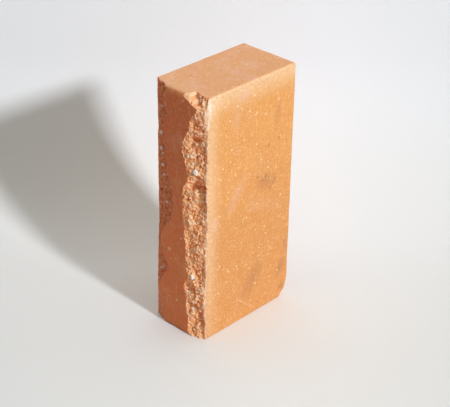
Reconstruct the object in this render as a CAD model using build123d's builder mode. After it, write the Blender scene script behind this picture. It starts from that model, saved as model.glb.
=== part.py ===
from build123d import *
from math import ceil
import os

# A hyper-pressed facing brick, pressed as one solid piece and standing on one of its headers.
# The stretcher that faces out of the wall is on -Y. Both of its long edges are torn off over the whole
# length of the brick, so a smooth strip is left between two rough ones. The end of the torn edge on +X
# has a deeper bite in the top header, and the bottom corner of that bed is broken at the back.
# Millimetres, +Z up, with the origin under the middle of the header that the brick stands on.

# The pressed block: a mould of length by width, filled to the thickness and pressed from bed to bed
brick_length = 250.0
brick_width = 120.0
brick_thickness = 65.0
mould_corner_radius = 3.0
bed_edge_radius = 1.8

# The torn edges, as level stations down the brick from half a pitch above its top
tear_pitch = 10.0
right_widths = [6, 6, 11, 16, 20, 24, 27, 23, 20, 19, 26, 26, 25, 24]
right_widths += [22, 23, 21, 22, 21, 19, 23, 22, 21, 20, 18, 19, 12]
right_depths = [4, 4.5, 2.5, 6, 6, 6, 5.5, 5.5, 5, 4, 5, 6, 6, 6.5]
right_depths += [6.5, 6, 5, 5, 5, 5, 5, 4.5, 4, 4, 4.5, 5.5, 6]
left_widths = [20, 18, 18, 21, 17, 16, 16, 18, 20, 21, 26, 27, 29, 28]
left_widths += [23, 16, 10, 12, 14, 21, 17, 10, 7, 12, 16, 17, 17]
left_depths = [8, 8, 8, 8, 8, 8.5, 8, 8, 8, 8, 8, 8, 8, 8]
left_depths += [8.5, 8.5, 8, 7.5, 7, 6.5, 6.5, 6, 6, 6, 6, 6, 6]

# Hollows where stones came out and the ridge between them: how far each lies from the bed side, as a
# share of the width, and how far it goes below the straight line between the two rims at each station
hollow_share = 0.24
right_hollows = [0.5, 0.5, 1, 0.3, 0.3, 1.5, 1.2, 0.3, 0.5, 2.5, 3, 2.5, 1.5, 1]
right_hollows += [0.5, 0.3, 0.3, 0.3, 0.3, 0.3, 0.3, 0.5, 1.2, 1.5, 1.8, 1.5, 1.5]
left_hollows = [1, 0.5, 1.5, -0.5, 0.5, 1, 0.5, 2]
ridge_share = 0.45
right_ridges = [0.5, 0.5, 1.5, 0.6, 0.7, 2.2, 0.5, 0.7, 0.5, 2.6, 0.7, 0.6, 1, 0.7]
right_ridges += [0.6, 0.5, 0.7, 0.5, 0.4, 0.5, 0.5, 0.6, 0.3, 0.4, 0.3, 0.4, 0.4]
left_ridges = [-0.5, 0.6, -1, -0.4, -1.5]
lip_share = 0.8
lip_drops = [0.9, 1.1, 0.6, 1.3]
left_smooth_foot = 38.0
smooth_foot_relief = 0.2

# The bite at the top of the right torn edge: its outline in the top header, in from the bed face and in
# from the stretcher, and the share of it that is left at each depth below the header
bite_outline = [(0, 7), (3, 9.5), (8, 8.5), (14, 11.5), (20.5, 12), (21, 5.5), (28, 0)]
bite_shares = {-1.0: 1.04, 4.0: 0.78, 8.5: 0.5, 10.5: 0.2}

# The broken corner at the foot: its outline on the bed face, in from the back stretcher and up from the
# foot, and the share of it that is left at each depth below the bed
corner_outline = [(0, 30), (1.5, 18), (4, 9.5), (8.5, 5.5), (12, 0)]
corner_shares = {-1.0: 1.1, 3.0: 0.72, 7.0: 0.4, 9.0: 0.12}

# How far each cutter reaches outside the block
cutter_reach = 3.0


def edge_plane(side, drop):
    """A level plane at that drop below the top, with its origin on the long edge of the stretcher on that
    side (+1 is +X). Its x runs in from the bed face and its y runs in from the stretcher."""
    return Plane(
        origin=(side * brick_thickness / 2, -brick_width / 2, brick_length - drop),
        x_dir=(-side, 0, 0),
        z_dir=(0, 0, -side),
    )


def past_rim(inner, rim):
    """The point where the line from inner through the rim comes outside the block."""
    return rim + (rim - inner).normalized() * cutter_reach / 2


def waste_outline(surface):
    """A closed outline outside the given line of points, round the edge that is broken away."""
    outside = Vector(-cutter_reach, -cutter_reach)
    first = past_rim(surface[1], surface[0])
    last = past_rim(surface[-2], surface[-1])
    return [first, *surface[1:-1], last, outside]


def torn_edge(side, widths, depths, hollows, ridges, smooth_foot):
    """What is torn off one long edge of the stretcher, from above the top to below the foot."""
    drops_at = {hollow_share: hollows, ridge_share: ridges, lip_share: lip_drops}
    with BuildPart() as waste:
        for station in range(ceil(brick_length / tear_pitch) + 2):
            drop = (station - 0.5) * tear_pitch
            width = widths[station % len(widths)]
            depth = depths[station % len(depths)]
            rough = smooth_foot_relief if brick_length - drop < smooth_foot else 1
            surface = [Vector(0, depth)]
            for share, drops in drops_at.items():
                relief = rough * drops[station % len(drops)]
                surface.append(Vector(share * width, (1 - share) * depth + relief))
            surface.append(Vector(width, 0))
            with BuildSketch(edge_plane(side, drop)):
                with BuildLine():
                    Polyline(*waste_outline(surface), close=True)
                make_face()
        loft(ruled=True)
    return waste.part


def chip(corner, outline, shares):
    """What is broken off at a corner plane, whose x and y run in along the two faces beside it."""
    with BuildPart() as waste:
        for drop, share in shares.items():
            surface = [Vector(x, y) * share for x, y in outline]
            with BuildSketch(corner.offset(drop)):
                with BuildLine():
                    Polyline(*waste_outline(surface), close=True)
                make_face()
        loft(ruled=True)
    return waste.part


right_edge = torn_edge(1, right_widths, right_depths, right_hollows, right_ridges, 0)
left_edge = torn_edge(-1, left_widths, left_depths, left_hollows, left_ridges, left_smooth_foot)
top_bite = chip(edge_plane(1, 0), bite_outline, bite_shares)
foot_corner = Plane(
    origin=(brick_thickness / 2, brick_width / 2, 0), x_dir=(0, -1, 0), z_dir=(-1, 0, 0)
)
broken_corner = chip(foot_corner, corner_outline, corner_shares)

# The brick
with BuildPart() as brick:
    with BuildSketch(Plane.YZ.offset(-brick_thickness / 2)):
        with Locations((0, brick_length / 2)):
            RectangleRounded(brick_width, brick_length, mould_corner_radius)
    extrude(amount=brick_thickness)
    beds = brick.faces().filter_by(Axis.X)
    fillet(beds.edges(), bed_edge_radius)
    for waste in (right_edge, left_edge, top_bite, broken_corner):
        add(waste, mode=Mode.SUBTRACT)

brick.part.label = "brick"
os.makedirs("parts", exist_ok=True)
export_step(brick.part, "parts/brick.step")
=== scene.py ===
import math

import bmesh
import bpy
import numpy as np
from mathutils import Matrix, Vector, noise
from mathutils.bvhtree import BVHTree


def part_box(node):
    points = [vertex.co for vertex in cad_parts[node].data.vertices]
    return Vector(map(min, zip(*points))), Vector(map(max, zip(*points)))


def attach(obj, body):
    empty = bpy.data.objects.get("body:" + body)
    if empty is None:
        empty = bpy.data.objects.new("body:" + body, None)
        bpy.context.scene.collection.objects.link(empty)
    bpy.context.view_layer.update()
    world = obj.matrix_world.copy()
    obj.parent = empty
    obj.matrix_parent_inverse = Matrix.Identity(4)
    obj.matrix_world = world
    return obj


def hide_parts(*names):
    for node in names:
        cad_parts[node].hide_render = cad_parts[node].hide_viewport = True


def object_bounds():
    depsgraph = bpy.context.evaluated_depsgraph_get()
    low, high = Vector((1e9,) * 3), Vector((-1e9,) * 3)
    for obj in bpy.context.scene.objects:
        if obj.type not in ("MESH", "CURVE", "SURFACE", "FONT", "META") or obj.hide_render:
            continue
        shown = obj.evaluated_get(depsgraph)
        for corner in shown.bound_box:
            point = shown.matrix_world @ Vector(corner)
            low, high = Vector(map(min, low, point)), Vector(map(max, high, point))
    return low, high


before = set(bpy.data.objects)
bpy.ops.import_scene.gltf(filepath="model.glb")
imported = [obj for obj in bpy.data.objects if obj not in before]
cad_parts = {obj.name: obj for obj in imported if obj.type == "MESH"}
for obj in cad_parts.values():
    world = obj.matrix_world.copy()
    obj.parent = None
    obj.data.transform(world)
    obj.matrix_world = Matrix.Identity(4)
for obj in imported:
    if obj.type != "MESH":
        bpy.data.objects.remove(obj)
cad_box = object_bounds()

# The camera. It looks down on the lit bed face and the shaded stretcher. Its place was solved from the
# seven corners of the block that can be seen, and it needs no shift.
MM = 0.001
camera_azimuth, camera_elevation, camera_roll = 43.33, 29.63, 0.99
camera_distance = 1239 * MM
camera_to_right, camera_upward = 2.06 * MM, -10.03 * MM
focal_length_px = 1321.24
photo_width_px = 450

azimuth, elevation, roll = map(math.radians, (camera_azimuth, camera_elevation, camera_roll))
level = math.cos(elevation)
backward = Vector((math.sin(azimuth) * level, -math.cos(azimuth) * level, math.sin(elevation)))
level_right = Vector((math.cos(azimuth), math.sin(azimuth), 0))
upright = backward.cross(level_right)
right = math.cos(roll) * level_right + math.sin(roll) * upright
up = backward.cross(right)
brick_middle = (cad_box[0] + cad_box[1]) / 2
camera_place = brick_middle + backward * camera_distance + right * camera_to_right + up * camera_upward
camera_data = bpy.data.cameras.new("camera")
camera = bpy.data.objects.new("camera", camera_data)
bpy.context.scene.collection.objects.link(camera)
camera.matrix_world = Matrix.Translation(camera_place) @ Matrix((right, up, backward)).transposed().to_4x4()
camera_data.lens = focal_length_px * camera_data.sensor_width / photo_width_px
camera_data.clip_end = 20
bpy.context.scene.camera = camera
bpy.context.scene.view_settings.view_transform = "Standard"

# The pressed block. One charge of crushed stone, cement and iron oxide is pressed from bed to bed in a steel
# mould and hardens unfired. The mould's corners are rounded, and a little unevenly so are the beds' arrises.
mould_corner_radius = 3.0
bed_edge_radius = 1.8
radius_wander, wander_length, wander_seed = 0.3, 14.0, 5
arc_steps = 6
block_cell = 5.0
low, high = (np.array(corner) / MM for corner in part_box("brick"))
size = high - low


def edge_stations(start, end):
    """Places along one side of the block in mm: close together in its rounded borders, else a cell apart."""
    bend = mould_corner_radius * (1 - np.cos(np.linspace(0, math.pi / 2, arc_steps)[:-1]))
    inner_start, inner_end = start + mould_corner_radius, end - mould_corner_radius
    inner = np.linspace(inner_start, inner_end, round((end - start) / block_cell))
    return np.concatenate([start + bend, inner, (end - bend)[::-1]])


def add_mesh(name, points_mm, faces):
    """An object in the row frame from points in mm, with its double points merged and its faces outward."""
    mesh = bmesh.new()
    verts = [mesh.verts.new(point) for point in points_mm * MM]
    for face in faces:
        mesh.faces.new([verts[index] for index in face])
    bmesh.ops.remove_doubles(mesh, verts=mesh.verts, dist=1e-6)
    bmesh.ops.recalc_face_normals(mesh, faces=mesh.faces)
    data = bpy.data.meshes.new(name)
    mesh.to_mesh(data)
    mesh.free()
    made = bpy.data.objects.new(name, data)
    bpy.context.scene.collection.objects.link(made)
    return made


def grid_faces(rows, columns, first=0):
    """The quads of a grid of points that are numbered row by row from first."""
    index = first + np.arange(rows * columns).reshape(rows, columns)
    corners = (index[:-1, :-1], index[1:, :-1], index[1:, 1:], index[:-1, 1:])
    return np.stack(corners, axis=-1).reshape(-1, 4).tolist()


def wander_at(points, length, seed):
    """Smooth noise from -1 to 1 at each point in mm."""
    shift = Vector((seed, 2 * seed, 3 * seed))
    return np.array([noise.noise(Vector(point) / length + shift) for point in points])


def rounded_block():
    """The six gridded sides of the block, with the mould's corners and then the bed arrises rounded off."""
    stations = [edge_stations(low[k], high[k]) for k in range(3)]
    points, faces = [], []
    for axis in range(3):
        across, along = (axis + 1) % 3, (axis + 2) % 3
        for side in (low[axis], high[axis]):
            grid = np.empty((len(stations[across]), len(stations[along]), 3))
            grid[..., axis] = side
            grid[..., across] = stations[across][:, None]
            grid[..., along] = stations[along][None, :]
            faces += grid_faces(*grid.shape[:2], first=len(points))
            points += grid.reshape(-1, 3).tolist()
    points = np.array(points)
    wander = 1 + radius_wander * wander_at(points, wander_length, wander_seed)
    corner = mould_corner_radius * wander
    middle = np.clip(points[:, 1:], low[1:] + corner[:, None], high[1:] - corner[:, None])
    off = points[:, 1:] - middle
    length = np.maximum(np.linalg.norm(off, axis=1), 1e-9)
    out = np.abs(off).max(axis=1)
    arris = bed_edge_radius * wander
    from_side = corner - out
    from_bed = np.minimum(points[:, 0] - low[0], high[0] - points[:, 0])
    bent = (from_side < arris) & (from_bed < arris)
    turn = np.where(bent, (arris + from_bed - from_side) / (2 * arris), 0) * math.pi / 2
    from_bed = np.where(bent, arris * (1 - np.cos(turn)), from_bed)
    out = np.where(bent, corner - arris * (1 - np.sin(turn)), out)
    points[:, 0] = np.where(points[:, 0] > 0, high[0] - from_bed, low[0] + from_bed)
    points[:, 1:] = middle + off / length[:, None] * out[:, None]
    return add_mesh("pressed_block", points, faces)


block = rounded_block()

# Its skin is cement paste squeezed against the mould: matt and dense, an even orange on the beds, and paler
# with stone dust along its edges. The stretchers are painted a darker, redder brown, which is painted shade:
# the colour they show in shade. Crumbs of stone show in it as cream specks, and the bed on +X has a few old
# stains and one scratch.
bed_orange, bed_orange_low = "e29b52", "d58e4b"
stretcher_shade_red, stretcher_shade_red_low = "ce6537", "de733e"
header_pink = "e59d68"
drift_width, drift_reach = 40.0, 120.0
# Patches of another tone: their seed, their width in mm, their detail, the noise at which they start and at
# which they are full, their strength, and their colour
clouds = (
    (0, 26, 4, 0.52, 0.72, 0.22, "e2ab8c"),
    (1, 17, 4, 0.5, 0.7, 0.3, "d08a44"),
    (2, 5, 4, 0.5, 0.72, 0.25, "efb878"),
)
header_tones = (
    (40, 3.4, 3, 0.5, 0.66, 0.4, "f3bd94"),
    (41, 2.4, 3, 0.5, 0.66, 0.35, "d8925c"),
    (42, 15, 3, 0.5, 0.64, 0.4, "edb49e"),
)
streaks, streak_squeeze = (9, 2.5, 4, 0.52, 0.75, 0.25, "eebb85"), 0.12
stone_dust = (5, 2.2, 5, 0.05, 0.7, 1.0, "f5d7af")
# A lighter band down the top of each stretcher is painted light, where the arris rounds over to the lit top
stretcher_top_light = (14, 3.5, 4, 0.35, 0.65, 0.9, "e4955f")
chipped_tear_arris = (11, 1.7, 4, 0.45, 0.6, 0.9, "c98a66")
skin_grains = (
    (20, 1.3, 2, 0.5, 0.64, 0.3, "f9cf98"),
    (21, 1.6, 2, 0.5, 0.66, 0.2, "cf8040"),
    (22, 1.9, 2, 0.64, 0.71, 0.45, "fce4b0"),
)
header_grains, stretcher_grains = 0.75, 0.4
# Soft steps: 1 is where each starts, 2 where it is full, and 4 how high it then is. The first three go by how
# squarely the surface faces along an axis, and the rest by millimetres.
on_one_face, turned_to_face, on_stretcher = {1: 0.5, 2: 0.9}, {1: 0.2, 2: 1.0}, {1: 0.2, 2: 0.8}
low_tones = {1: 290.0, 2: 120.0}
dusty_by_tear, dusty_high_up = {1: 28.0, 2: 0.0, 4: 0.75}, {1: -100.0, 2: 140.0}
dusty_by_top, dusty_by_arris = {1: 27.0, 2: 0.0, 4: 0.7}, {1: 2.5, 2: 0.0, 4: 0.15}
header_dust = 0.2
top_light_by_top, chipped_by_tear = {1: 9.0, 2: 1.0}, {1: 9.5, 2: 5.5}
# Specks: how far apart their places are, their radius, the share of the places that have one, their strength
# and their colour. They and the marks have ragged outlines.
specks = (
    (5.6, 1.3, 0.2, 0.605, "fce6b2"),
    (6.5, 0.6, 0.3, 0.44, "a0604a"),
    (10, 2.2, 0.3, 0.385, "fbe0ae"),
)
speck_edge = 0.35
ragged_width, ragged_seed = 1.1, 3
speck_ragged, mark_ragged = 0.9, 1.6
# Marks on the bed on +X: their colour, strength and softness, half their width and half their height, how far
# they are turned, and then the y and z of each
stain, pink, scratch, lip_highlight, cream = "8a5048", "e8b9a4", "f4cfa6", "fdeee2", "fbe6b8"
marks = (
    (stain, 0.42, 0.95, 2.1, 1.9, 0, (12, 150), (18, 144), (23.5, 146.5), (36, 139.5)),
    (stain, 0.42, 0.95, 1.7, 2.4, 0, (33.7, 136), (29.7, 131.4), (26, 178), (39.7, 181)),
    (stain, 0.25, 0.95, 12, 8, 0, (24, 141)),
    (stain, 0.2, 0.95, 4, 12, 10, (37, 205)),
    (stain, 0.25, 0.95, 10, 22, 35, (8, 40)),
    (stain, 0.3, 0.9, 4, 6, 60, (51, 13)),
    (stain, 0.3, 0.95, 6, 11, 20, (49, 36)),
    (stain, 0.2, 0.95, 3, 9, 10, (54, 60)),
    (pink, 0.3, 1.4, 6, 16, 0, (-18, 220)),
    (pink, 0.35, 1.4, 6, 18, 35, (-16, 142)),
    (pink, 0.4, 0.9, 5, 9, 0, (-44, 122)),
    (pink, 0.4, 0.9, 8, 6, 0, (-8, 239)),
    (scratch, 0.5, 0.6, 11, 0.4, 40, (-5.7, 20.6)),
    (scratch, 0.3, 0.6, 9.5, 0.4, 42, (8.8, 7.9)),
    # Painted highlight: a pale line where the lip beside the torn edge catches the light
    (lip_highlight, 0.7, 1.2, 2.5, 9, 0, (-52, 240)),
    (lip_highlight, 0.6, 1.2, 1.5, 5, 0, (-53.5, 226)),
    (cream, 0.8, 0.4, 1.1, 0.8, 50, (5, 235), (-17, 231.5), (20.6, 211), (-1, 221)),
    (cream, 0.8, 0.4, 1.1, 0.8, 50, (7, 215), (-26.7, 220), (-37, 165.4), (12.8, 33.3)),
    (cream, 0.8, 0.4, 0.8, 1.0, 20, (44.5, 34), (37.6, 220.4), (-33, 236), (9.6, 184.7)),
    (cream, 0.8, 0.4, 0.8, 1.0, 20, (-23.4, 190.5), (25.8, 155), (-34.6, 175.6)),
)
mark_depth = 2.0
# The sand in the paste is mostly finer than this, and is drawn as coarse as it needs to be to show
skin_grit_width, skin_grit_seed = 0.7, 7
skin_grit_dark, skin_grit_light = 0.9, 1.08
grit_grain = {"Detail": 3, "Roughness": 0.7}
noise_low, noise_high = 0.3, 0.7


def linear(hex_colour):
    """The linear colour, with its alpha, of an sRGB hex value."""
    parts = [int(hex_colour[k : k + 2], 16) / 255 for k in (0, 2, 4)]
    return [part / 12.92 if part < 0.04045 else ((part + 0.055) / 1.055) ** 2.4 for part in parts] + [1]


def add_node(tree, kind, settings, inputs):
    """Adds a shader node with its settings, sets or links its inputs, and gives its outputs."""
    made = tree.nodes.new("ShaderNode" + kind)
    for name, value in settings.items():
        setattr(made, name, value)
    for name, value in inputs.items():
        if isinstance(value, bpy.types.NodeSocket):
            tree.links.new(value, made.inputs[name])
        else:
            made.inputs[name].default_value = value
    return made.outputs


# Settings that many nodes share
minus, times, times_plus = {"operation": "SUBTRACT"}, {"operation": "MULTIPLY"}, {"operation": "MULTIPLY_ADD"}
least, most, above = {"operation": "MINIMUM"}, {"operation": "MAXIMUM"}, {"operation": "GREATER_THAN"}
size_only, reach_along = {"operation": "ABSOLUTE"}, {"operation": "DOT_PRODUCT"}
soft = {"interpolation_type": "SMOOTHSTEP"}
in_space_and_seed = {"noise_dimensions": "4D"}


def new_finish(name, roughness):
    """A material with that name and roughness, its tree, and the place on the object in mm and the normal."""
    finish = bpy.data.materials.new(name)
    finish.use_nodes = True
    tree = finish.node_tree
    tree.nodes["Principled BSDF"].inputs["Roughness"].default_value = roughness
    coords = add_node(tree, "TexCoord", {}, {})
    place = add_node(tree, "VectorMath", {"operation": "SCALE"}, {0: coords["Object"], "Scale": 1 / MM})[0]
    return finish, tree, place, coords["Normal"]


def coat(tree, colour, tone, *shares):
    """That tone, an sRGB hex value, laid over the colour by the product of the shares."""
    share = shares[0]
    for other in shares[1:]:
        share = add_node(tree, "Math", times, {0: share, 1: other})[0]
    return add_node(tree, "Mix", {"data_type": "RGBA"}, {0: share, 6: colour, 7: linear(tone)})[2]


def patched(tree, colour, place, patch, *shares):
    """The colour with patches of another tone laid over it, as strong as the shares let them be."""
    seed, width, detail, start, full, strength, tone = patch
    inputs = {"Vector": place, "W": seed, "Scale": 1 / width, "Detail": detail, "Roughness": 0.6}
    cloud = add_node(tree, "TexNoise", in_space_and_seed, inputs)[0]
    shown = add_node(tree, "MapRange", soft, {0: cloud, 1: start, 2: full, 4: strength})[0]
    return coat(tree, colour, tone, shown, *shares)


def shaded(tree, colour, value, start, end, first, last):
    """The colour times a factor, which goes from first to last as the value goes from start to end."""
    factor = add_node(tree, "MapRange", {}, {0: value, 1: start, 2: end, 3: first, 4: last})[0]
    return add_node(tree, "VectorMath", {"operation": "SCALE"}, {0: colour, "Scale": factor})[0]


def finish_with(tree, colour, height, bump_mm, strength):
    """Links the colour to the shader, with a bump that high in mm."""
    shader = tree.nodes["Principled BSDF"]
    tree.links.new(colour, shader.inputs["Base Color"])
    relief = add_node(tree, "Bump", {}, {"Strength": strength, "Distance": bump_mm * MM, "Height": height})[0]
    tree.links.new(relief, shader.inputs["Normal"])


def pressed_skin():
    finish, tree, place, normal = new_finish("pressed_cement_skin", roughness=0.85)
    _, y, z = add_node(tree, "SeparateXYZ", {}, {0: place})
    facing = add_node(tree, "VectorMath", size_only, {0: normal})[0]
    facing_x, facing_y, facing_z = add_node(tree, "SeparateXYZ", {}, {0: facing})
    on_bed = add_node(tree, "MapRange", soft, {0: facing_x, **on_one_face})[0]
    on_header = add_node(tree, "MapRange", soft, {0: facing_z, **on_one_face})[0]

    # The colours of the faces. The low tones come in by height plus a drift, which is 60 mm on average.
    inputs = {"Vector": place, "W": 0, "Scale": 1 / drift_width, "Detail": 4, "Roughness": 0.6}
    drift = add_node(tree, "TexNoise", in_space_and_seed, inputs)[0]
    drifted = add_node(tree, "Math", times_plus, {0: drift, 1: drift_reach, 2: z})[0]
    low_down = add_node(tree, "MapRange", soft, {0: drifted, **low_tones})[0]
    bed = coat(tree, linear(bed_orange), bed_orange_low, low_down)
    # The stretchers' darker, redder brown is painted shade
    stretcher = coat(tree, linear(stretcher_shade_red), stretcher_shade_red_low, low_down)
    header_share = add_node(tree, "MapRange", soft, {0: facing_z, **turned_to_face})[0]
    stretcher_share = add_node(tree, "MapRange", soft, {0: facing_y, **turned_to_face})[0]
    colour = coat(tree, bed, header_pink, header_share)
    inputs = {0: stretcher_share, 6: colour, 7: stretcher}
    colour = add_node(tree, "Mix", {"data_type": "RGBA"}, inputs)[2]
    for patch in clouds:
        colour = patched(tree, colour, place, patch)
    for patch in header_tones:
        colour = patched(tree, colour, place, patch, on_header)
    drawn_out = add_node(tree, "VectorMath", times, {0: place, 1: (1, 1, streak_squeeze)})[0]
    colour = patched(tree, colour, drawn_out, streaks)

    # How far it is to the nearest arris: the second least of the distances to the three pairs of faces
    middle, half = ((low + high) / 2).tolist(), (size / 2).tolist()
    off_middle = add_node(tree, "VectorMath", minus, {0: place, 1: middle})[0]
    off_middle = add_node(tree, "VectorMath", size_only, {0: off_middle})[0]
    gaps = add_node(tree, "VectorMath", minus, {0: half, 1: off_middle})[0]
    gap_x, gap_y, gap_z = add_node(tree, "SeparateXYZ", {}, {0: gaps})
    nearer = add_node(tree, "Math", least, {0: gap_x, 1: gap_y})[0]
    farther = add_node(tree, "Math", most, {0: gap_x, 1: gap_y})[0]
    farther = add_node(tree, "Math", least, {0: farther, 1: gap_z})[0]
    to_arris = add_node(tree, "Math", most, {0: nearer, 1: farther})[0]

    # Stone dust, painted light down the top of the stretchers, and chips along the arris beside the torn edge
    from_tear = add_node(tree, "Math", minus, {0: y, 1: float(low[1])})[0]
    from_top = add_node(tree, "Math", minus, {0: float(high[2]), 1: z})[0]
    by_tear = add_node(tree, "MapRange", soft, {0: from_tear, **dusty_by_tear})[0]
    high_up = add_node(tree, "MapRange", soft, {0: z, **dusty_high_up})[0]
    by_top = add_node(tree, "MapRange", soft, {0: from_top, **dusty_by_top})[0]
    by_arris = add_node(tree, "MapRange", soft, {0: to_arris, **dusty_by_arris})[0]
    dust_holds = add_node(tree, "Math", times_plus, {0: on_header, 1: header_dust, 2: on_bed})[0]
    dusty = add_node(tree, "Math", times_plus, {0: by_tear, 1: high_up, 2: by_top})[0]
    dusty = add_node(tree, "Math", times_plus, {0: dusty, 1: dust_holds, 2: by_arris})[0]
    colour = patched(tree, colour, place, stone_dust, dusty)
    # Painted light: lighter down the top of each stretcher
    top_light_share = add_node(tree, "MapRange", soft, {0: from_top, **top_light_by_top})[0]
    only_there = add_node(tree, "MapRange", soft, {0: facing_y, **on_stretcher})[0]
    colour = patched(tree, colour, place, stretcher_top_light, top_light_share, only_there)
    chipped = add_node(tree, "MapRange", soft, {0: from_tear, **chipped_by_tear})[0]
    colour = patched(tree, colour, place, chipped_tear_arris, chipped, dust_holds)

    # Grains and specks of stone in the paste, and the marks
    shown = add_node(tree, "Math", times, {0: on_header, 1: header_grains})[0]
    shown = add_node(tree, "Math", most, {0: on_bed, 1: shown})[0]
    shown = add_node(tree, "Math", most, {0: shown, 1: stretcher_grains})[0]
    for patch in skin_grains:
        colour = patched(tree, colour, place, patch, shown)
    inputs = {"Vector": place, "W": ragged_seed, "Scale": 1 / ragged_width, "Detail": 2, "Roughness": 0.6}
    bend = add_node(tree, "TexNoise", in_space_and_seed, inputs)[1]
    ragged = add_node(tree, "VectorMath", times_plus, {0: bend, 1: [speck_ragged] * 3, 2: place})[0]
    for spacing, radius, share, strength, tone in specks:
        cells = add_node(tree, "TexVoronoi", {}, {"Vector": ragged, "Scale": 1 / spacing})
        chance = add_node(tree, "SeparateColor", {}, {0: cells["Color"]})[0]
        reach = add_node(tree, "MapRange", {}, {0: chance, 1: 1 - share, 2: 1.0, 4: radius / spacing})[0]
        inside = add_node(tree, "Math", minus, {0: reach, 1: cells["Distance"]})[0]
        inputs = {0: inside, 1: 0.0, 2: speck_edge / spacing, 4: strength}
        colour = coat(tree, colour, tone, add_node(tree, "MapRange", soft, inputs)[0])
    ragged = add_node(tree, "VectorMath", times_plus, {0: bend, 1: [mark_ragged] * 3, 2: place})[0]
    for tone, strength, softness, half_width, half_height, turn, *mark_places in marks:
        for mark_y, mark_z in mark_places:
            centre = [place_mm + mark_ragged / 2 for place_mm in (float(high[0]), mark_y, mark_z)]
            inputs = {"Vector": ragged, "Location": centre, "Rotation": (-math.radians(turn), 0, 0)}
            inputs["Scale"] = (mark_depth, half_width, half_height)
            inner = add_node(tree, "Mapping", {"vector_type": "TEXTURE"}, inputs)[0]
            reach = add_node(tree, "VectorMath", {"operation": "LENGTH"}, {0: inner})["Value"]
            inputs = {0: reach, 1: 1 + softness / 2, 2: 1 - softness, 4: strength}
            colour = coat(tree, colour, tone, add_node(tree, "MapRange", soft, inputs)[0])

    inputs = {"Vector": place, "W": skin_grit_seed, "Scale": 1 / skin_grit_width, **grit_grain}
    grit = add_node(tree, "TexNoise", in_space_and_seed, inputs)[0]
    colour = shaded(tree, colour, grit, noise_low, noise_high, skin_grit_dark, skin_grit_light)
    finish_with(tree, colour, grit, bump_mm=0.15, strength=0.6)
    return finish


# The torn edges. Both long arrises of the facing stretcher are chopped off after pressing, so the break
# shows crushed stone and binder: shallow scoops with sharp ridges, lumps as large as the stones, and
# grit. The solid gives where each break lies, and the relief here is laid over it.
edge_seeds = {1: 120, -1: 31}
# The steps of its grid, how far in from the bed and past the ends of the block the grid goes, and how far
# outside the block the waste reaches
break_cell, break_reach, break_over, break_back = 0.44, 38.0, 3.0, 9.0
# How near to an end the solid is still measured, and how deep a face may seem there and yet be whole
end_guard, whole_within = 0.4, 0.05
# How steeply the cut comes out of the block past the rim of the break
rim_slope = 0.7
# The relief is lower on the foot of the left edge, beside the bed, and beside the rim on the stretcher
smooth_foot, smooth_foot_relief, smooth_foot_blur = 38.0, 0.12, 6
bed_side_relief, bed_side_width = 0.15, 5.0
rim_relief, rim_width = 0.25, 8.0
rim_grain_relief, rim_grain_width = 0.5, 2.0
# Larger hollows: inset of the middle, its height, half the width, half the height, and how far each goes in,
# or with a minus stands out
hollows_and_lumps = {
    1: (
        (8, 161, 13, 7, 3.0), (8, 150, 6, 14, 1.5), (13, 208, 6, 4, 2.2), (16, 162, 7, 8, 2),
        (19, 124, 5, 10, -2), (17, 216, 8, 13, -1.4), (7, 20, 9, 11, 2.5), (12, 186, 7, 6, 1),
        (16, 61, 8, 11, -1.5), (18, 54, 8, 9, 2.5), (7, 74, 10, 9, 1.5), (9, 177, 5, 5, -2),
        (16, 172, 6, 11, -2), (17, 24, 9, 9, -1.5), (16, 42, 8, 8, -1.5), (12.5, 245.5, 3.5, 5, -2.2),
        (5, 243, 3.5, 4, -1.8),
    ),
    -1: (),
}
# What the whole break is made of: how far each kind is across, how high, how far it tilts and how it curves
scoops = (13.0, 0.9, 0.5, 1.1)
facets = (5.5, 1.8, 1.0, 0.5)
stone_lumps = (2.2, 1.15, 1.1, 0.9)
grit_lumps = (1.1, 0.8, 1.2, 0.8)
# The arris on the bed is chipped back, where the break is wide enough
arris_chips = (3.0, 1.0, 1.0, 0.5)
arris_chip, even_chip, least_chip = {1: 1.3, -1: 0.4}, 0.5, 0.2
chipped_over_width = 2.0
# What is around a point reaches that many cells each way
around_steps = 10

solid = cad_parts["brick"].data
solid_tree = BVHTree.FromPolygons([v.co for v in solid.vertices], [p.vertices for p in solid.polygons])


def cobbles(u, v, lumps, seed):
    """Side by side lumps of random level and tilt: how high the highest stands at each point, in mm."""
    cell, lump_height, tilt, curve = lumps
    draw = np.random.default_rng(seed)
    margin = 3
    i = np.floor(u / cell).astype(int)
    j = np.floor(v / cell).astype(int)
    i0, j0 = i.min() - margin, j.min() - margin
    shape = (i.max() - i0 + margin + 1, j.max() - j0 + margin + 1)
    jitter_u, jitter_v, levels = (draw.random(shape) for _ in range(3))
    tilt_u, tilt_v = (draw.uniform(-tilt, tilt, shape) for _ in range(2))
    best = np.full(u.shape, -np.inf)
    nearby = range(-2, 3)
    for di in nearby:
        for dj in nearby:
            cell_at = (i + di - i0, j + dj - j0)
            du = u / cell - (i + di + jitter_u[cell_at])
            dv = v / cell - (j + dj + jitter_v[cell_at])
            here = levels[cell_at] + tilt_u[cell_at] * du + tilt_v[cell_at] * dv - curve * (du**2 + dv**2)
            best = np.maximum(best, here)
    return lump_height * (best - best.mean())


def blurred(field, steps):
    """The field with each point made the mean of its neighbours, that many steps each way."""
    for axis in (0, 1):
        padded = np.pad(field, [(steps + 1, steps) if k == axis else (0, 0) for k in (0, 1)], mode="edge")
        total = np.cumsum(padded, axis=axis)
        count = 2 * steps + 1
        ahead = np.take(total, range(count, total.shape[axis]), axis=axis)
        behind = np.take(total, range(total.shape[axis] - count), axis=axis)
        field = (ahead - behind) / count
    return field


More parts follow.
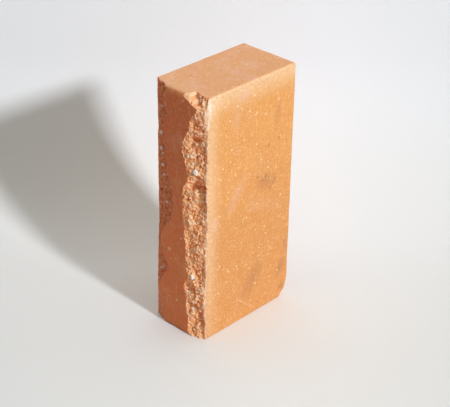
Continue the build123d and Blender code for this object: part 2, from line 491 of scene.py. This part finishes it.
def solid_depths(side, inset, height):
    """How far below the stretcher's plane the solid lies at each inset from the bed and each height."""
    depth = np.zeros((len(height), len(inset)))
    for row, z in enumerate(height):
        z = min(max(z, low[2] + end_guard), high[2] - end_guard)
        rounding = max(low[2] + mould_corner_radius - z, z - high[2] + mould_corner_radius, 0)
        recess = mould_corner_radius - math.sqrt(mould_corner_radius**2 - rounding**2)
        found = 0
        for column in reversed(range(len(inset))):
            x = side * (size[0] / 2 - max(inset[column], break_cell))
            hit = solid_tree.ray_cast(Vector((x, low[1] - break_back, z)) * MM, Vector((0, 1, 0)))[0]
            if hit:
                found = hit.y / MM - low[1]
            depth[row, column] = 0 if found < recess + whole_within else found
    return depth


def torn_edge(side, seed):
    """The broken surface of one long edge in mm: its insets, its heights, its depths below the stretcher and
    how far each point stands out from what is around it."""
    inset = np.arange(-break_over, break_reach, break_cell)
    height = np.arange(low[2] - break_over, high[2] + break_over, break_cell)
    depth = solid_depths(side, inset, height)
    whole = (depth == 0) & (inset > 0)
    width = inset[whole.argmax(axis=1)]
    past_rim = inset[None, :] - width[:, None]
    depth = np.where(past_rim > 0, -rim_slope * past_rim, depth)
    depth = blurred(depth, 1)
    u, v = np.meshgrid(inset, height)
    chips = arris_chip[side] * (even_chip + cobbles(0 * u, v, arris_chips, seed + 4))
    chips = np.clip(np.clip(chips, least_chip, None) - u, 0, None)
    depth += chips * (width[:, None] > chipped_over_width)
    rough = np.ones_like(depth)
    if side < 0:
        rough = np.where(v < smooth_foot, smooth_foot_relief, 1.0)
        rough = blurred(rough, smooth_foot_blur)
    rough *= np.clip(bed_side_relief + u / bed_side_width, bed_side_relief, 1)
    forms = cobbles(u, v, scoops, seed + 500)
    forms -= cobbles(u, v, facets, seed + 1)
    for middle_u, middle_v, reach_u, reach_v, deeper in hollows_and_lumps[side]:
        off = ((u - middle_u) / reach_u) ** 2 + ((v - middle_v) / reach_v) ** 2
        forms += deeper * np.clip(1 - off, 0, 1)
    stones_and_grit = cobbles(u, v, stone_lumps, seed + 2)
    stones_and_grit += cobbles(u, v, grit_lumps, seed + 3)
    near_rim = (1 - rim_grain_relief) * (past_rim + rim_grain_width) / rim_grain_width
    relief = rough * stones_and_grit * np.clip(1 - near_rim, rim_grain_relief, 1)
    relief -= rough * forms * np.clip(rim_relief - past_rim / rim_width, rim_relief, 1)
    return inset, height, depth - relief, relief - blurred(relief, around_steps)


def waste_of(surface, back):
    """The closed body between a grid of points on a broken surface and a flat grid outside the brick."""
    rows, columns = surface.shape[:2]
    count = rows * columns
    faces = grid_faces(rows, columns) + grid_faces(rows, columns, first=count)
    index = np.arange(count).reshape(rows, columns)
    rim = np.concatenate([index[0, :-1], index[:-1, -1], index[-1, :0:-1], index[:0:-1, 0]])
    for a, b in zip(rim, np.roll(rim, -1)):
        faces.append([a, b, b + count, a + count])
    return add_mesh("waste", np.concatenate([surface.reshape(-1, 3), back.reshape(-1, 3)]), faces)


def cut_away(body, waste, finish_index=1):
    """Cuts the waste off the body, with one of its finishes on the cut: the break's, where none is named."""
    for finish in finishes:
        waste.data.materials.append(finish)
    waste.data.polygons.foreach_set("material_index", [finish_index] * len(waste.data.polygons))
    cut = body.modifiers.new("cut", "BOOLEAN")
    cut.operation = "DIFFERENCE"
    cut.solver = "MANIFOLD"
    cut.object = waste
    made = bpy.data.meshes.new_from_object(body.evaluated_get(bpy.context.evaluated_depsgraph_get()))
    body.modifiers.clear()
    body.data = made
    bpy.data.objects.remove(waste)


# The break is the inside of the same mix: a coarse orange-brown binder with crumbs of cream and yellow
# limestone broken across. Light and shade are painted on it: lighter where it faces the side lamp and where
# it stands out, darker and redder in its hollows, and darker and redder all over the left edge, which lies in
# shade and is patchier too.
binder_orange, binder_lamp_lit = "fd8e50", "ffc080"
binder_hollow_shade, binder_proud_highlight, binder_shaded = "e66c36", "ffe0b8", "d06839"
shaded_strength = 0.65
binder_clouds = (0, 6, 3, 0.48, 0.66, 0.2, "f09450")
pale_crumbs = (1, 1.6, 3, 0.5, 0.61, 0.75, "ffe0bc")
red_crumbs = (2, 1.4, 3, 0.5, 0.62, 0.5, "dc6430")
# A painted highlight along the rim beside the bed, where the rim catches the light
rim_highlight = (12, 1.8, 4, 0.42, 0.55, 0.75, "ffe2c4")
left_tones = (
    (30, 5, 3, 0.5, 0.62, 0.3, "98472b"),
    (31, 2.2, 3, 0.5, 0.6, 0.4, "a04f32"),
    (32, 1.9, 3, 0.54, 0.62, 0.6, "e8a078"),
    (33, 3.6, 3, 0.6, 0.65, 0.7, "e4b29a"),
)
# Whole grains: how far apart their places are, the share of the places that have one, and their colour
pale_grains = ((2.4, 0.05, "f8dcb8"), (1.7, 0.08, "f8cd98"), (1.3, 0.14, "fbe8d2"))
# Soft steps: by how squarely it faces the side lamp, for painted light, by how far it stands out in mm, by
# how near a grain's middle it is, and by x in mm
lamp_side, lamp_lit_on = (0.8, 0, 0.6), {1: 0.1, 2: 0.5}
hollow_shade_in, proud_highlight_on, out_of_hollow_shade = {1: -0.2, 2: -1.4, 4: 0.6}, {1: 0.1, 2: 1.0, 4: 0.7}, {1: -1.3, 2: -0.2}
in_grain = {1: 0.55, 2: 0.45, 4: 0.85}
rim_highlight_by_bed, on_left_edge = {1: 29.0, 2: 31.5}, {1: 5.0, 2: -10.0}
# The least share of the painted highlight, and of the crumbs and grains, where nothing faces the side lamp
least_highlight, least_lit_crumbs = 0.4, 0.6
break_grit_width, break_grit_seed = 0.5, 8


def broken_stone():
    finish, tree, place, normal = new_finish("broken_cement_and_stone", roughness=0.95)
    stands_out = add_node(tree, "Attribute", {"attribute_name": "stands_out"}, {})["Fac"]
    # Painted light: lighter where the break faces the side lamp
    facing = add_node(tree, "VectorMath", reach_along, {0: normal, 1: lamp_side})["Value"]
    lamp_lit = add_node(tree, "MapRange", soft, {0: facing, **lamp_lit_on})[0]
    colour = coat(tree, linear(binder_orange), binder_lamp_lit, lamp_lit)
    # Painted shade in the hollows, and a painted highlight where the break stands out
    colour = coat(tree, colour, binder_hollow_shade, add_node(tree, "MapRange", soft, {0: stands_out, **hollow_shade_in})[0])
    proud_highlight = add_node(tree, "MapRange", soft, {0: stands_out, **proud_highlight_on})[0]
    highlight_share = add_node(tree, "Math", most, {0: lamp_lit, 1: least_highlight})[0]
    colour = coat(tree, colour, binder_proud_highlight, proud_highlight, highlight_share)
    # The pale crumbs and grains are kept out of the painted shade of the hollows
    lit_crumb_share = add_node(tree, "Math", most, {0: lamp_lit, 1: least_lit_crumbs})[0]
    shown = add_node(tree, "MapRange", soft, {0: stands_out, **out_of_hollow_shade})[0]
    crumbs_out_of_shade = add_node(tree, "Math", times, {0: lit_crumb_share, 1: shown})[0]
    colour = patched(tree, colour, place, binder_clouds)
    colour = patched(tree, colour, place, pale_crumbs, crumbs_out_of_shade)
    colour = patched(tree, colour, place, red_crumbs)
    for seed, (spacing, share, tone) in enumerate(pale_grains):
        inputs = {"Vector": place, "W": seed, "Scale": 1 / spacing}
        cells = add_node(tree, "TexVoronoi", {"voronoi_dimensions": "4D"}, inputs)
        chance = add_node(tree, "SeparateColor", {}, {0: cells["Color"]})[0]
        chosen = add_node(tree, "Math", above, {0: chance, 1: 1 - share})[0]
        inside = add_node(tree, "MapRange", soft, {0: cells["Distance"], **in_grain})[0]
        colour = coat(tree, colour, tone, chosen, crumbs_out_of_shade, inside)
    x = add_node(tree, "SeparateXYZ", {}, {0: place})[0]
    # A painted highlight along the rim beside the bed on +X
    rim_highlight_share = add_node(tree, "MapRange", soft, {0: x, **rim_highlight_by_bed})[0]
    colour = patched(tree, colour, place, rim_highlight, rim_highlight_share)
    # Painted shade: the left edge, which lies in shade, is made darker and redder
    on_left = add_node(tree, "MapRange", soft, {0: x, **on_left_edge})[0]
    colour = coat(tree, colour, binder_shaded, on_left, shaded_strength)
    for patch in left_tones:
        colour = patched(tree, colour, place, patch, on_left)
    inputs = {"Vector": place, "W": break_grit_seed, "Scale": 1 / break_grit_width, **grit_grain}
    grit = add_node(tree, "TexNoise", in_space_and_seed, inputs)[0]
    finish_with(tree, colour, grit, bump_mm=0.4, strength=1.0)
    return finish


finishes = (pressed_skin(), broken_stone())
for finish in finishes:
    block.data.materials.append(finish)
breaks = {}
for side, seed in edge_seeds.items():
    breaks[side] = torn_edge(side, seed)
    inset, height, depth, relief = breaks[side]
    u, v = np.meshgrid(inset, height)
    x = side * (size[0] / 2 - u)
    surface = np.stack([x, low[1] + depth, v], axis=-1)
    back = np.stack([x, np.full_like(x, low[1] - break_back), v], axis=-1)
    cut_away(block, waste_of(surface, back))

# The broken corner. The bottom corner of the bed on +X is knocked off at the back. This break is older than
# the torn edges, and it is rounder, with lumps as large as the stones and a little grit.
corner_width, corner_height = 36.0, 36.0
corner_cell = 0.6
corner_seed = 51
corner_lumps = (5.0, 0.7, 0.6, 1.0)
corner_grit = (1.6, 0.35, 1.0, 1.0)
corner_whole_within = 0.1


def corner_waste():
    """What is knocked off that corner, as deep as the solid lies there, with its own relief."""
    across = np.arange(high[1] - corner_width, high[1] + break_over, corner_cell)
    upward = np.arange(low[2] + corner_height, low[2] - break_over, -corner_cell)
    depth = np.zeros((len(upward), len(across)))
    whole = np.zeros(depth.shape, bool)
    for row, z in enumerate(upward):
        found = 0
        for column, y in enumerate(across):
            inner_y = min(y, high[1] - end_guard)
            inner_z = max(z, low[2] + end_guard)
            gap_y = max(mould_corner_radius - (high[1] - inner_y), 0)
            gap_z = max(mould_corner_radius - (inner_z - low[2]), 0)
            from_edge = max(mould_corner_radius - math.hypot(gap_y, gap_z), 0)
            rounding = max(bed_edge_radius - from_edge, 0)
            recess = bed_edge_radius - math.sqrt(bed_edge_radius**2 - rounding**2)
            start = Vector((high[0] + break_back, inner_y, inner_z)) * MM
            hit = solid_tree.ray_cast(start, Vector((-1, 0, 0)))[0]
            if hit:
                found = high[0] - hit.x / MM
            whole[row, column] = found < recess + corner_whole_within
            depth[row, column] = found
    y, z = np.meshgrid(across, upward)
    depth = np.where(whole, -rim_slope, depth)
    depth = blurred(depth, 1)
    relief = cobbles(y, z, corner_lumps, corner_seed)
    relief += cobbles(y, z, corner_grit, corner_seed + 1)
    depth -= np.where(blurred(whole.astype(float), 2) > 0.5, 0, relief)
    surface = np.stack([high[0] - depth, y, z], axis=-1)
    back = np.stack([np.full_like(y, high[0] + break_back), y, z], axis=-1)
    return waste_of(surface, back)


cut_away(block, corner_waste())

# The worn corner. Beside the bite in the top the arris of that bed is worn round by rubbing, more and more
# towards the stretcher, and it has the skin's finish and its dust.
rounded_from, rounded_to, rounded_radius = -38.0, -62.0, 5.0
rounded_stations, rounded_steps = 24, 9
rounded_taper, least_rounding, rounding_power = 14, 0.02, 1.5
# The cutter is a hollow quarter round with a flank past each end, in radii, and it is this thick in mm
cutter_flanks = ((-2, 0.4), (0.4, -2))
cutter_thickness = 4

along = np.linspace(rounded_from, rounded_to, rounded_stations)
turns = np.linspace(0, math.pi / 2, rounded_steps)
radii = rounded_radius * np.clip((rounded_from - along) / rounded_taper, least_rounding, 1) ** rounding_power
arc = np.stack([np.sin(turns) - 1, np.cos(turns) - 1], axis=-1)
arc = np.concatenate([cutter_flanks[:1], arc, cutter_flanks[1:]])
surface = np.empty((len(along), len(arc), 3))
surface[..., 0] = high[0] + radii[:, None] * arc[:, 0]
surface[..., 1] = along[:, None]
surface[..., 2] = high[2] + radii[:, None] * arc[:, 1]
cut_away(block, waste_of(surface, surface + [cutter_thickness, 0, cutter_thickness]), finish_index=0)

# The nicks. Where the brick was set down or knocked, its arrises have lost a crumb or two, so each nick is
# small and rough inside. Each has its middle, in x, y and z, and its reach.
nicks = (
    (-32.5, -35.5, 250, 1.3),
    (-30.7, 57, 250, 2.2),
    (32.5, 8, 250, 0.8),
    (32.5, 41, 0, 1.0),
    (5, 60, 250, 0.9),
)
nick_wander, nick_wander_length = 0.35, 0.8

for seed, (*centre, reach) in enumerate(nicks):
    ball = bmesh.new()
    bmesh.ops.create_icosphere(ball, subdivisions=3, radius=1)
    points = np.array([v.co for v in ball.verts])
    faces = [[v.index for v in face.verts] for face in ball.faces]
    ball.free()
    points *= reach * (1 + nick_wander * wander_at(points, nick_wander_length, seed))[:, None]
    cut_away(block, add_mesh("waste", points + centre, faces))

# The block as cut. Edges that the cuts left too short to see are dissolved, and each point of it is told how
# far it stands out from what is around it, which the finish of the break goes by.
slivers = bmesh.new()
slivers.from_mesh(block.data)
bmesh.ops.dissolve_degenerate(slivers, dist=1e-6, edges=slivers.edges)
slivers.to_mesh(block.data)
slivers.free()
places = np.array([v.co for v in block.data.vertices]) / MM
stands_out = np.zeros(len(places))
for side, (inset, height, depth, relief) in breaks.items():
    mine = (places[:, 0] > 0) == (side > 0)
    column = np.round((size[0] / 2 - side * places[mine, 0] - inset[0]) / break_cell)
    column = np.clip(column, 0, len(inset) - 1)
    row = np.clip(np.round((places[mine, 2] - height[0]) / break_cell), 0, len(height) - 1)
    stands_out[mine] = relief[row.astype(int), column.astype(int)]
block.data.attributes.new("stands_out", "FLOAT", "POINT").data.foreach_set("value", stands_out)
block.data.shade_smooth()
block.data.set_sharp_from_angle(angle=math.radians(35))
block.name = "pressed_block"
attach(block, "root")
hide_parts("brick")

# The stones in the break. The mix holds crushed limestone, white, cream and greyish, in angular grains up to
# 8 mm. Where the edge was torn they stand half out of the binder. The largest lie where they do in the
# photograph, and the rest are scattered.
limestone_white = "f6eee2"
# The other tones, with the share of the small grains that are lighter than each
limestone_tones = ((0.3, "f6dec8"), (0.5, "f0ccac"), (0.65, "f6c99c"), (0.85, "dcbaa4"), (0.96, "b09a8c"))
# The stones on the left edge are painted darker, as painted shade
left_stone_shade, left_stone_shade_strength = "e8bca4", 0.35
limestone_cloud_width = 1.2
limestone_dark, limestone_light = 0.82, 1.05
# Each large stone has its inset from the bed, its height and its width
large_stones = {
    1: (
        (9.5, 177, 7.5), (14.2, 67.2, 8), (18.8, 190.5, 4.4), (12.8, 193, 3.6), (23.8, 180.6, 4.2),
        (27, 206, 3), (22.6, 207.8, 3), (19.6, 34.6, 3.4), (13, 36.6, 3), (4.1, 207.2, 3), (11.5, 170.3, 2.6),
        (9.2, 231.4, 3.4), (6.8, 239.4, 3), (19.5, 28, 4), (13, 30.5, 3.2), (8, 47, 2.8), (20, 48, 3.2),
        (20.5, 89, 3.2), (15, 184, 3.6), (14, 177, 3), (23, 158, 3), (22, 152, 3), (7, 247, 2.0),
        (10, 243, 2.2),
    ),
    -1: (
        (11, 200.9, 5.6), (12.8, 157.8, 6), (12.8, 169.4, 4.5), (9.8, 184.5, 5), (11.5, 180, 3.5),
        (10, 225.6, 3.4), (13, 61.1, 4), (8, 57, 3), (14, 146, 3.2), (17, 132, 3),
    ),
}
# A large stone is broken flat across this direction, and a small one along the break that it lies in
large_facing = {1: (0.73, -0.5, 0.45), -1: (0.4, -0.8, 0.45)}
large_thickness, small_thickness = 0.5, 0.75
large_tones, small_tones = 0.3, 1
# Small stones are tried at random places, most of them near the least size, and are left out where the
# break is too shallow or lies lower than what is around it
small_stones = {1: 170, -1: 80}
small_stone_sizes, size_power = (0.9, 2.4), 2.5
small_stone_insets, small_stone_margin = (1, 30), 1.5
arris_stones = 20
arris_stone_sizes, arris_stone_insets = (1.0, 2.4), (0.2, 1.6)
arris_foot_margin, arris_top_margin = 4, 12
least_depth, least_relief = 0.5, -0.1
stone_seed = 7
stone_shapes, stone_corners = 14, 11
stone_sink = 0.05


def stone_shape(draw):
    """The corners and triangles of an angular stone about 1 across."""
    corners = draw.normal(size=(stone_corners, 3))
    corners *= 0.5 * draw.uniform(0.8, 1, (stone_corners, 1)) / np.linalg.norm(corners, axis=1)[:, None]
    mesh = bmesh.new()
    for corner in corners:
        mesh.verts.new(corner)
    hull = bmesh.ops.convex_hull(mesh, input=mesh.verts)
    left_over = set(hull["geom_unused"] + hull["geom_interior"])
    inner_corners = [item for item in left_over if isinstance(item, bmesh.types.BMVert)]
    bmesh.ops.delete(mesh, geom=inner_corners, context="VERTS")
    mesh.verts.index_update()
    shape = np.array([v.co for v in mesh.verts]), np.array([[v.index for v in f.verts] for f in mesh.faces])
    mesh.free()
    return shape


def stone_turn(draw):
    """A random turn, as a matrix."""
    q, r = np.linalg.qr(draw.normal(size=(3, 3)))
    return q * np.sign(np.diag(r))


def crushed_stones():
    """All the stones as one object: the large ones, those scattered over the breaks, those on the arris."""
    draw = np.random.default_rng(stone_seed)
    shapes = [stone_shape(draw) for _ in range(stone_shapes)]
    places = [(side, *stone) for side, stones in large_stones.items() for stone in stones]
    large_count = len(places)
    smallest, largest = small_stone_sizes
    for side, count in small_stones.items():
        for _ in range(count):
            width = smallest + (largest - smallest) * draw.random() ** size_power
            u = draw.uniform(*small_stone_insets)
            v = draw.uniform(low[2] + small_stone_margin, high[2] - small_stone_margin)
            places.append((side, u, v, width))
    for _ in range(arris_stones):
        u = draw.uniform(*arris_stone_insets)
        v = draw.uniform(low[2] + arris_foot_margin, high[2] - arris_top_margin)
        places.append((1, u, v, draw.uniform(*arris_stone_sizes)))
    points, faces, tones = [], [], []
    for index, (side, u, v, width) in enumerate(places):
        large = index < large_count
        inset, height, depth, relief = breaks[side]
        row, column = round((v - height[0]) / break_cell), round((u - inset[0]) / break_cell)
        here = depth[row, column]
        if here < least_depth or (side < 0 and v < smooth_foot):
            continue
        if not large and relief[row, column] < least_relief:
            continue
        around = depth[row - 1 : row + 2, column - 1 : column + 2]
        slope_v, slope_u = (slope[1, 1] for slope in np.gradient(around, break_cell))
        outward = np.array(large_facing[side] if large else (side * slope_u, -1, slope_v))
        outward /= np.linalg.norm(outward)
        corners, triangles = shapes[draw.integers(stone_shapes)]
        corners = corners @ stone_turn(draw).T
        flattened = 1 - (large_thickness if large else small_thickness)
        corners = corners - np.outer(corners @ outward, outward) * flattened
        centre = np.array([side * (size[0] / 2 - u), low[1] + here, v]) - outward * stone_sink * width
        faces += (triangles + len(points)).tolist()
        tones += [draw.random() * (large_tones if large else small_tones)] * len(corners)
        points += np.clip(centre + corners * width, low, high).tolist()
    mesh = bpy.data.meshes.new("crushed_stones")
    mesh.from_pydata((np.array(points) * MM).tolist(), [], faces)
    mesh.attributes.new("tone", "FLOAT", "POINT").data.foreach_set("value", tones)
    stones = bpy.data.objects.new("crushed_stones", mesh)
    bpy.context.scene.collection.objects.link(stones)
    return stones


def crushed_limestone():
    """Limestone with fresh breaks: matt, each grain of one tone with faint clouds in it."""
    finish, tree, place, _ = new_finish("crushed_limestone", roughness=0.9)
    chance = add_node(tree, "Attribute", {"attribute_name": "tone"}, {})["Fac"]
    colour = linear(limestone_white)
    for start, tone in limestone_tones:
        colour = coat(tree, colour, tone, add_node(tree, "Math", above, {0: chance, 1: start})[0])
    x = add_node(tree, "SeparateXYZ", {}, {0: place})[0]
    # Painted shade on the stones of the left edge
    on_left = add_node(tree, "MapRange", soft, {0: x, **on_left_edge})[0]
    colour = coat(tree, colour, left_stone_shade, on_left, left_stone_shade_strength)
    inputs = {"Vector": place, "W": 0, "Scale": 1 / limestone_cloud_width, "Detail": 4, "Roughness": 0.6}
    cloud = add_node(tree, "TexNoise", in_space_and_seed, inputs)[0]
    colour = shaded(tree, colour, cloud, noise_low, noise_high, limestone_dark, limestone_light)
    finish_with(tree, colour, cloud, bump_mm=0.2, strength=0.4)
    return finish


stones = crushed_stones()
stones.data.materials.append(crushed_limestone())
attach(stones, "root")

# The backdrop is one sheet of matt white paper: flat under the brick, then curved up into a wall behind it,
# square to the camera. Light and shade are painted on it: lighter up the wall, and a little darker towards
# both sides, where less of the room's light reaches it.
paper_white, paper_wall_light = "eeeeec", "f8fafc"
up_the_wall = {1: 20.0, 2: 170.0}
lightest_at, even_to, dark_at, dark_shade = 65.0, 40.0, 320.0, 0.86
floor_end = 62.0
sweep_radius = 167.0
sweep_steps = 32
sheet_reach = 3000.0

away = np.array([-backward.x, -backward.y]) / level
aside = np.array([level_right.x, level_right.y])
turns = np.linspace(0, math.pi / 2, sweep_steps)
profile = [(-sheet_reach, 0)]
profile += [(floor_end + sweep_radius * math.sin(t), sweep_radius * (1 - math.cos(t))) for t in turns]
profile += [(floor_end + sweep_radius, sheet_reach)]
sheet_points = []
for along, rise in profile:
    for reach in (-sheet_reach, sheet_reach):
        sheet_points.append((*(away * along + aside * reach), rise))
sheet = add_mesh("paper_sheet", np.array(sheet_points), grid_faces(len(profile), 2))
sheet.data.shade_smooth()
paper, tree, place, _ = new_finish("matt_paper", roughness=0.95)
z = add_node(tree, "SeparateXYZ", {}, {0: place})[2]
# Painted light up the wall, and painted shade towards both sides
on_wall = add_node(tree, "MapRange", soft, {0: z, **up_the_wall})[0]
colour = coat(tree, linear(paper_white), paper_wall_light, on_wall)
to_right = add_node(tree, "VectorMath", reach_along, {0: place, 1: (*aside, 0)})["Value"]
to_side = add_node(tree, "Math", minus, {0: to_right, 1: lightest_at})[0]
to_side = add_node(tree, "Math", size_only, {0: to_side})[0]
colour = shaded(tree, colour, to_side, even_to, dark_at, 1.0, dark_shade)
tree.links.new(colour, tree.nodes["Principled BSDF"].inputs["Base Color"])
sheet.data.materials.append(paper)

# The light: a low, fairly hard lamp from the side of the lit bed, a soft one overhead, and a faint room. The
# directions of the lamps come from the outline of the brick's shadow.
for name, towards, strength, spread, colour in (
    ("side_lamp", (0.893, -0.027, 0.451), 2.38, 6, (0.97, 1.0, 1.06)),
    ("overhead_lamp", (0.05, 0.1, 1), 1.2, 70, (1.03, 1.0, 0.9)),
):
    lamp_data = bpy.data.lights.new(name, "SUN")
    lamp = bpy.data.objects.new(name, lamp_data)
    bpy.context.scene.collection.objects.link(lamp)
    lamp.rotation_euler = Vector(towards).to_track_quat("Z", "Y").to_euler()
    lamp_data.energy = strength
    lamp_data.angle = math.radians(spread)
    lamp_data.color = colour
room_colour, room_strength = (1, 0.96, 0.86, 1), 0.12
room = bpy.data.worlds.new("room")
bpy.context.scene.world = room
room.use_nodes = True
room.node_tree.nodes["Background"].inputs["Color"].default_value = room_colour
room.node_tree.nodes["Background"].inputs["Strength"].default_value = room_strength
